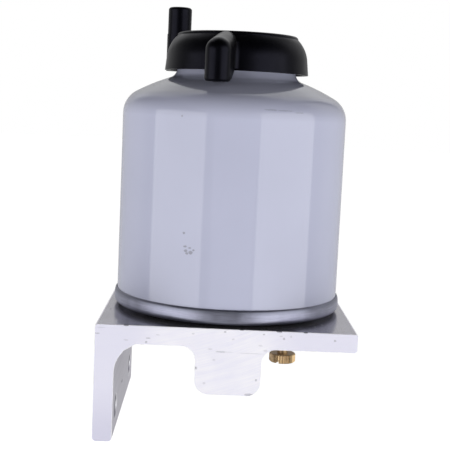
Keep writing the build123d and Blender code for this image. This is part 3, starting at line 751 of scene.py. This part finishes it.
def rounded_aluminium():
    """The worn metal of the edges, painted brighter as a highlight."""
    edge = Finish("edge_aluminium", colour(0.9, 0.9, 0.94), 0.42, metallic=0.25)
    tone = edge.sum((edge.clouds(1.1), 0.6), (edge.clouds(6.0), 0.4))
    clean = edge.blend(tone, colour(0.78, 0.77, 0.88), colour(1.0, 1.0, 1.0))
    nicks = marks(edge.tree, edge.point, FRONT_NICKS)
    edge.set("Base Color", edge.blend(nicks, clean, colour(0.1, 0.1, 0.12)))
    edge.roughness(0.3, (tone, 0.2))
    edge.bump(edge.clouds(0.6), 0.02)
    return edge.material


def bored_aluminium():
    """Drilled and tapped bores: rings round the drill's axis, upright or sideways alike."""
    bored = Finish("bored_aluminium", colour(0.75, 0.75, 0.79), 0.35, metallic=1.0)
    across = maths(bored.tree, "ADD", bored.x, bored.z)
    rings = bored.lines(across, bored.y, 0.3, 6.0)
    bored.set("Base Color", bored.blend(rings, colour(0.6, 0.6, 0.64), colour(0.84, 0.84, 0.88)))
    bored.roughness(0.28, (rings, 0.15))
    bored.bump(rings, 0.02)
    return bored.material


# %% [markdown]
# ### Brass
# The bleed screw is turned from bar. Its head is knurled, which the solid already has, and its skin has gone
# dull: patches of darker tarnish over fine rings, and painted shade on the head's upper face.

# %% Brass
BLEED_AT = (24.65, -12.0)
HEAD_RADIUS = 5 * MM
HEAD_PAINTED_SHADE = (8.35 * MM, 8.75 * MM, 0.0, 0.25)  # two heights and the painted shade's share at each


def dull_brass():
    brass = Finish("dull_brass", colour(0.5, 0.34, 0.17), 0.38, metallic=1.0)
    radius, angle = brass.around(BLEED_AT)
    across = maths(brass.tree, "ADD", radius, brass.z)
    rings = brass.lines(across, maths(brass.tree, "MULTIPLY", angle, HEAD_RADIUS), 0.16, 4.0)
    tarnish = brass.clouds(2.6)
    tone = brass.sum((rings, 0.45), (tarnish, 0.55))
    clean = brass.blend(tone, colour(0.42, 0.28, 0.14), colour(0.88, 0.67, 0.4))
    # Painted shade: the head's upper face, tucked under the plate, is painted darker.
    painted_shade = remap(brass.tree, brass.z, *HEAD_PAINTED_SHADE)
    brass.set("Base Color", brass.blend(painted_shade, clean, colour(0.16, 0.1, 0.045)))
    brass.roughness(0.25, (tarnish, 0.2), (rings, 0.1))
    brass.bump(rings, 0.01)
    return brass.material


# %% [markdown]
# ### Black mouldings and rubber
# The collar is a satin black moulding: nearly black by itself, so what one sees is its soft reflection, with
# some dust and rubbed places. Rubber is duller and browner.

# %% Plastic and rubber
COOL_SHEEN = colour(0.7, 0.7, 1.0)


def black_plastic(name, base, dusty, roughness, grain, ior):
    plastic = Finish(name, base, roughness, ior=ior)
    plastic.shader.inputs["Specular Tint"].default_value = COOL_SHEEN
    dust = plastic.sum((plastic.clouds(7.0), 0.5), (plastic.specks(0.9, 0.2, 0.12), 0.5))
    rubbed = plastic.scratches(9.0, 0.004)
    plastic.set("Base Color", plastic.blend(dust, base, dusty))
    plastic.roughness(roughness - 0.05, (plastic.clouds(4.0), 0.08), (rubbed, 0.1), (dust, 0.04))
    plastic.bump(plastic.sum((plastic.clouds(grain, 2.0), 0.6), (rubbed, -0.5)), 0.008)
    return plastic.material


def seal_rubber():
    rubber = Finish("seal_rubber", colour(0.02, 0.02, 0.02), 0.6)
    bloom = rubber.clouds(3.0)
    rubber.set("Base Color", rubber.blend(bloom, colour(0.014, 0.013, 0.012), colour(0.04, 0.038, 0.036)))
    rubber.roughness(0.5, (bloom, 0.2))
    rubber.bump(rubber.clouds(0.3), 0.01)
    return rubber.material


# %% [markdown]
# ### Steel and paper inside
# The inner pieces show only through the inlet holes or when the can is off. Zinc plate has a fine crystal
# pattern, spring steel is darker and bluish, and filter paper is a pale tan felt of short fibres.

# %% Steel and paper
def plated_steel(name, low, high, roughness):
    steel = Finish(name, high, roughness, metallic=1.0)
    crystals = steel.specks(1.3, 0.5, 0.6)
    clouds = steel.clouds(5.0)
    tone = steel.sum((crystals, 0.35), (clouds, 0.65))
    steel.set("Base Color", steel.blend(tone, low, high))
    steel.roughness(roughness - 0.06, (clouds, 0.12), (crystals, 0.06))
    steel.bump(steel.clouds(0.8), 0.006)
    return steel.material


def filter_paper():
    paper = Finish("filter_paper", colour(0.6, 0.47, 0.26), 0.85)
    fibres = paper.lines(maths(paper.tree, "ADD", paper.x, paper.y), paper.z, 0.15, 1.2)
    tone = paper.sum((fibres, 0.5), (paper.clouds(2.0), 0.5))
    paper.set("Base Color", paper.blend(tone, colour(0.5, 0.37, 0.18), colour(0.72, 0.58, 0.35)))
    paper.roughness(0.78, (fibres, 0.1))
    paper.bump(tone, 0.04)
    return paper.material


# %% Finishes by slot
FINISHES = {
    "bracket_aluminium": drawn_aluminium(
        "drawn_aluminium", colour(0.66, 0.645, 0.73), colour(0.93, 0.91, 0.99), 0.4, LEG_MARKS
    ),
    "can_paint": can_paint(),
    "seam_zinc": seam_zinc(),
    "plated_steel": plated_steel("plated_steel", colour(0.42, 0.42, 0.41), colour(0.66, 0.66, 0.64), 0.34),
    "spring_steel": plated_steel("spring_steel", colour(0.2, 0.21, 0.24), colour(0.34, 0.35, 0.38), 0.32),
    "brass": dull_brass(),
    "collar_plastic": black_plastic(
        "collar_plastic", colour(0.0002, 0.0002, 0.0004), colour(0.0018, 0.0018, 0.003), 0.33, 0.5, 1.26
    ),
    "seat_plastic": black_plastic(
        "seat_plastic", colour(0.02, 0.02, 0.022), colour(0.04, 0.04, 0.042), 0.4, 0.5, 1.45
    ),
    "seal_rubber": seal_rubber(),
    "filter_paper": filter_paper(),
}
for row in frame["record"]["subparts"]:
    materials = nodes[row["node"]].data.materials
    materials.clear()
    materials.append(FINISHES[row["material_slot"]])
print("finishes:", sorted(FINISHES))

# %% [markdown]
# ## Rounded edges
# No real edge is perfectly sharp: a narrow rounding catches the light and makes a machined piece look solid.
# The solids keep their sharp edges, and a copy of the mesh gets the rounding, so the copy can stand for the
# solid without changing its size. A shader could fake the rounding, but then the outline would stay sharp.

# %% Rounded copy
WELD = 0.002 * MM
FLAT_ANGLE = math.radians(0.6)


def weighted_normals(form):
    """A normal for each corner, led by its largest face: flat faces look flat beside their roundings."""
    form.normal_update()
    form.verts.index_update()
    normals = []
    for corner in form.verts:
        total = Vector((0, 0, 0))
        for face in corner.link_faces:
            total += face.normal * face.calc_area()
        normals.append(total.normalized())
    return normals


def rounded_copy(node_name, piece_name, passes):
    """A copy of a CAD node's mesh with rounded edges.

    Each pass is a width in millimetres, a number of steps, and a test that picks its edges.
    """
    mesh = nodes[node_name].data.copy()
    form = bmesh.new()
    form.from_mesh(mesh)
    bmesh.ops.remove_doubles(form, verts=form.verts, dist=WELD)
    bmesh.ops.dissolve_limit(form, angle_limit=FLAT_ANGLE, verts=form.verts, edges=form.edges)
    marker = form.faces.layers.int.new("rounding")
    for width, steps, chosen in passes:
        sharp = [edge for edge in form.edges if len(edge.link_faces) == 2 and chosen(edge)]
        rounded = bmesh.ops.bevel(
            form,
            geom=sharp,
            offset=width * MM,
            offset_type="OFFSET",
            segments=steps,
            profile=0.5,
            affect="EDGES",
            clamp_overlap=False,
            material=-1,
        )
        print(piece_name, "rounded", len(sharp), "edges to", width, "mm")
        for face in rounded["faces"]:
            face[marker] = 1
    normals = weighted_normals(form)
    bmesh.ops.triangulate(form, faces=[face for face in form.faces if len(face.verts) > 4])
    form.to_mesh(mesh)
    form.free()
    for face in mesh.polygons:
        face.use_smooth = True
    mesh.normals_split_custom_set_from_vertices(normals)
    piece = bpy.data.objects.new(piece_name, mesh)
    bpy.context.collection.objects.link(piece)
    print(piece_name, "faces:", len(mesh.polygons))
    return piece


# %% [markdown]
# The bracket's copy also tells its finishes apart, face by face: by the way a face looks, its height, and
# whether it lies inside one of the bores.

# %% Bracket
DECK = 26.3
BACK = 40.6
FREE_END = 50.7
LEG_INSIDE = -42.0
SKIN = 0.3  # how near a face's middle is to the end or the deck that it belongs to
BORE_MOUTH = 0.4  # so near the deck, a face in a bore's reach still belongs to the deck
ACROSS = 0.9  # least share of a sawn face's normal along Y
LEVEL = 0.95  # least share of a faced face's normal along Z
OUTLET_AT = (0.0, 0.0)
INLET_AT = (0.0, 23.5)

# Each bore's centre and reach, seen along its axis
UPRIGHT_BORES = [(OUTLET_AT, 7.3), (INLET_AT, 7.3), (BLEED_AT, 6.2)]
LEG_BORES = [((-35.6, -9.9), 5.0), ((27.9, -9.9), 5.0)]

DRAWN, SAWN, FACED, EDGE, BORED = range(5)
SHARP_ANGLE = math.radians(38)
LONG_EDGE = 20 * MM


def sharp_meeting(edge):
    return edge.calc_face_angle(0.0) > SHARP_ANGLE


def plate_end(edge):
    """The plate's two long corners at its free end, which the die left rounder."""
    at_end = all(corner.co.x > FREE_END * MM for corner in edge.verts)
    return sharp_meeting(edge) and at_end and edge.calc_length() > LONG_EDGE


def inside_bore(centre):
    """Whether a place in millimetres lies in one of the drilled holes."""
    x, y, z = centre
    upright = any(math.hypot(x - at[0], y - at[1]) < size for at, size in UPRIGHT_BORES)
    sideways = any(math.hypot(y - at[0], z - at[1]) < size for at, size in LEG_BORES)
    return upright or (sideways and x < LEG_INSIDE)


def bracket_finish(face, marker):
    """Place in the bracket's list of materials."""
    centre = face.center / MM
    if inside_bore(centre) and abs(centre.z - DECK) > BORE_MOUTH:
        return BORED
    if marker[face.index].value == 1:
        return EDGE
    if abs(face.normal.y) > ACROSS and (centre.y < FRONT + SKIN or centre.y > BACK - SKIN):
        return SAWN
    if face.normal.z > LEVEL and centre.z > DECK - SKIN:
        return FACED
    return DRAWN


def build_bracket():
    """The bracket with rounded edges and a finish for each kind of face."""
    passes = ((0.8, 5, plate_end), (0.22, 2, sharp_meeting))
    piece = rounded_copy("filter_head", "bracket", passes)
    mesh = piece.data
    low, high = colour(0.44, 0.43, 0.49), colour(0.59, 0.58, 0.65)
    finishes = {
        DRAWN: FINISHES["bracket_aluminium"],
        SAWN: sawn_aluminium(),
        FACED: drawn_aluminium("faced_aluminium", low, high, 0.15, TOP_MARKS, metallic=0.75),
        EDGE: rounded_aluminium(),
        BORED: bored_aluminium(),
    }
    mesh.materials.clear()
    for kind in sorted(finishes):
        mesh.materials.append(finishes[kind])
    marker = mesh.attributes["rounding"].data
    for face in mesh.polygons:
        face.material_index = bracket_finish(face, marker)
    mesh.attributes.remove(mesh.attributes["rounding"])
    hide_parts("filter_head")
    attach(piece, "head")


build_bracket()

# %% [markdown]
# ## Lofted and turned pieces
# A fillet along a curved root and a screw thread are both one small outline carried along a path. Blender's
# curve bevel could do it, but its section turns as it likes, so the rings of points are set out one by one
# and joined into a closed mesh. A turned piece is the same, except that its last ring joins its first.

# %% Loft and lathe
def loft(name, rings, slot, body, closed=False, crease=35):
    """A closed mesh through rings of points in millimetres.

    Its ends are capped, or joined if it is closed. Edges sharper than the crease, in degrees, stay sharp.
    """
    form = bmesh.new()
    rows = [[form.verts.new(Vector(point) * MM) for point in ring] for ring in rings]
    for low, high in zip(rows, rows[1:] + (rows[:1] if closed else [])):
        for index, corner in enumerate(low):
            after = (index + 1) % len(low)
            form.faces.new((corner, low[after], high[after], high[index]))
    if not closed:
        form.faces.new(list(reversed(rows[0])))
        form.faces.new(rows[-1])
    bmesh.ops.recalc_face_normals(form, faces=form.faces)
    mesh = bpy.data.meshes.new(name)
    form.to_mesh(mesh)
    form.free()
    mesh.materials.append(FINISHES[slot])
    for face in mesh.polygons:
        face.use_smooth = True
    mesh.set_sharp_from_angle(angle=math.radians(crease))
    piece = bpy.data.objects.new(name, mesh)
    bpy.context.collection.objects.link(piece)
    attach(piece, body)
    return piece


def lathe(name, section, steps, slot, body):
    """A closed mesh from a closed section (radius, height) in millimetres turned round the Z axis."""
    rings = []
    for step in range(steps):
        angle = 2 * math.pi * (step + 0.5) / steps
        outward = Vector((math.cos(angle), math.sin(angle), 0))
        rings.append([outward * radius + Vector((0, 0, height)) for radius, height in section])
    return loft(name, rings, slot, body, closed=True, crease=40)


# %% [markdown]
# ### The rolled seam
# The solid has the seam as a plain rounded band. On the real can the sheet comes out of the gasket channel,
# turns over close to the bracket's deck, leans in as it climbs and ends in a small lip that leaves a groove
# along the can's wall. One section turned round the axis gives all of it, and it keeps to the solid's radius.

# %% Seam ring
SEAM_SECTION = [
    (44.6, 30.5), (44.6, 31.6), (44.75, 32.3), (45.2, 32.8), (46.1, 33.1), (46.96, 33.12), (46.99, 33.4),
    (47.08, 33.46), (47.24, 33.38), (47.42, 33.2), (47.58, 32.95), (47.71, 32.6), (47.81, 32.15),
    (47.88, 31.6), (47.94, 30.9), (47.98, 30.1), (47.98, 29.5), (47.95, 29.1), (47.85, 28.65), (47.66, 28.22),
    (47.38, 27.85), (47.0, 27.58), (46.5, 27.42), (46.0, 27.45), (45.5, 27.72), (45.0, 28.2), (44.7, 28.85),
    (44.6, 29.7), (36.05, 29.7), (36.05, 30.8), (31.0, 30.8), (31.0, 28.9), (30.2, 28.9), (30.2, 31.6),
    (36.85, 31.6), (36.85, 30.5),
]
SEAM_STEPS = 240

rolled_seam = lathe("rolled_seam", SEAM_SECTION, SEAM_STEPS, "seam_zinc", "canister")
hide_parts("seam_ring")
print("rolled seam faces:", len(rolled_seam.data.polygons))

# %% [markdown]
# ### Roots of the spout's web
# The web runs out from the collar's skirt to the spout, and the mould has a small radius where they meet.
# It shows in the photograph as a pale line down the web's side. The skirt's radius at each height is found
# by looking at the solid from outside, well away from the web.

# %% Web roots
WEB_AZIMUTH = math.radians(-101.9)
WEB_HALF = 4.7
ROOT_RADIUS = 2.5
ROOT_LOW = 126.1
ROOT_HIGH = 136.6
ROOT_STEPS = 24
ROOT_ARC = 12
ROOT_SUNK = 0.15  # how deep the section's ends sit in the web and the skirt, so that no gap shows
TURNED_IN = 0.02
HIDDEN = 0.35
CLEAR_OF_WEB = 2.2  # radians round from the web
OUTSIDE = 80 * MM  # how far from the axis the look at the skirt starts


def skirt_radius(height):
    """Radius of the collar's outer surface at that height, read from the solid."""
    azimuth = WEB_AZIMUTH + CLEAR_OF_WEB
    outward = Vector((math.cos(azimuth), math.sin(azimuth), 0))
    start = outward * OUTSIDE + Vector((0, 0, height * MM))
    _, hit, _, _ = nodes["drain_collar"].ray_cast(start, -outward)
    return Vector(hit[:2]).length / MM


def root_ring(height, side):
    """Section of the root at one height: a hollow corner between the web's side and the skirt."""
    skirt = skirt_radius(height)
    aside = WEB_HALF + ROOT_RADIUS
    along = math.sqrt((skirt + ROOT_RADIUS) ** 2 - aside ** 2)
    end = math.atan2(-aside, -along)
    flat = [(along, WEB_HALF - ROOT_SUNK)]
    for step in range(ROOT_ARC + 1):
        angle = -math.pi / 2 + (end + math.pi / 2) * step / ROOT_ARC
        flat.append((along + ROOT_RADIUS * math.cos(angle), aside + ROOT_RADIUS * math.sin(angle)))
    flat.append((flat[-1][0] - ROOT_SUNK, flat[-1][1] - TURNED_IN))
    flat.append((math.sqrt(skirt ** 2 - WEB_HALF ** 2) - HIDDEN, WEB_HALF - ROOT_SUNK))
    outward = Vector((math.cos(WEB_AZIMUTH), math.sin(WEB_AZIMUTH), 0))
    across = Vector((-math.sin(WEB_AZIMUTH), math.cos(WEB_AZIMUTH), 0)) * side
    return [outward * along + across * aside + Vector((0, 0, height)) for along, aside in flat]


heights = [ROOT_LOW + (ROOT_HIGH - ROOT_LOW) * step / ROOT_STEPS for step in range(ROOT_STEPS + 1)]
for side, name in ((1, "web_root_right"), (-1, "web_root_left")):
    loft(name, [root_ring(height, side) for height in heights], "collar_plastic", "collar")
print("skirt radius low and high:", round(skirt_radius(ROOT_LOW), 2), round(skirt_radius(ROOT_HIGH), 2))

# %% [markdown]
# ### Port threads
# The two ports in the boss are tapped for pipe fittings. The solid has their plain bore, and a helical rib
# on its wall makes the thread. It fades at both ends, as a tap leaves it. The same rib, turned outward,
# serves for the stud.

# %% Port threads
PORTS = {"outlet_thread": OUTLET_AT, "inlet_thread": INLET_AT}
PORT_RADIUS = 6.9
PORT_PITCH = 1.41
PORT_LOW = 0.9
PORT_HIGH = 9.8
RIB_HEIGHT = 0.62
STEPS_A_TURN = 40
FOOT_SHARE = 0.46  # half widths of the rib's foot and crest, as shares of the pitch
CREST_SHARE = 0.06
RIB_SUNK = 0.05  # how deep the rib's foot sits in the wall
FADE_TURNS = 0.5
FADE_LEAST = 0.05


def thread_rings(centre, radius, pitch, low, high, rib):
    """Sections of a helical rib on a round wall, fading over its first and last half turn.

    A positive rib stands inward from a bore's wall, a negative one outward from a shaft.
    """
    steps = round((high - low) / pitch * STEPS_A_TURN)
    rings = []
    for step in range(steps + 1):
        angle = 2 * math.pi * step / STEPS_A_TURN
        turns_from_end = min(step, steps - step) / STEPS_A_TURN
        fade = min(1.0, turns_from_end / FADE_TURNS + FADE_LEAST)
        outward = Vector((math.cos(angle), math.sin(angle), 0))
        middle = Vector((*centre, low + pitch * step / STEPS_A_TURN))
        foot = Vector((0, 0, pitch * FOOT_SHARE * fade))
        crest = Vector((0, 0, pitch * CREST_SHARE))
        wall = middle + outward * (radius + math.copysign(RIB_SUNK, rib))
        top = middle + outward * (radius - rib * fade)
        rings.append([wall - foot, top - crest, top + crest, wall + foot])
    return rings


for name, centre in PORTS.items():
    rings = thread_rings(centre, PORT_RADIUS, PORT_PITCH, PORT_LOW, PORT_HIGH, RIB_HEIGHT)
    loft(name, rings, "bracket_aluminium", "head")
    print(name, "turns:", round((PORT_HIGH - PORT_LOW) / PORT_PITCH, 1))

# %% [markdown]
# ### Stud thread
# The stud carries the can on a coarse thread that shows as soon as the can is unscrewed. The solid is a plain
# tube at the thread's outer radius. Here a thinner tube takes its place, and a rib turned round it brings it
# back to the same radius.

# %% Stud
STUD_BORE = 7.0
STUD_ROOT = 10.1
STUD_OUTER = 11.09
STUD_LOW = 13.8
STUD_HIGH = 42.1
STUD_BEVEL = 0.5
STUD_PITCH = 1.814
STUD_STEPS = 96
STUD_THREAD_LOW = 14.7
STUD_THREAD_HIGH = 40.9
STUD_SECTION = [
    (STUD_BORE, STUD_LOW + STUD_BEVEL),
    (STUD_BORE + STUD_BEVEL, STUD_LOW),
    (STUD_ROOT - STUD_BEVEL, STUD_LOW),
    (STUD_ROOT, STUD_LOW + STUD_BEVEL),
    (STUD_ROOT, STUD_HIGH - STUD_BEVEL),
    (STUD_ROOT - STUD_BEVEL, STUD_HIGH),
    (STUD_BORE + STUD_BEVEL, STUD_HIGH),
    (STUD_BORE, STUD_HIGH - STUD_BEVEL),
]

stud_tube = lathe("stud_tube", STUD_SECTION, STUD_STEPS, "plated_steel", "head")
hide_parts("centre_stud")
rib = STUD_ROOT - STUD_OUTER
rings = thread_rings(OUTLET_AT, STUD_ROOT, STUD_PITCH, STUD_THREAD_LOW, STUD_THREAD_HIGH, rib)
stud_thread = loft("stud_thread", rings, "plated_steel", "head")
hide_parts("centre_stud")
print("stud thread turns:", round((STUD_THREAD_HIGH - STUD_THREAD_LOW) / STUD_PITCH, 1))
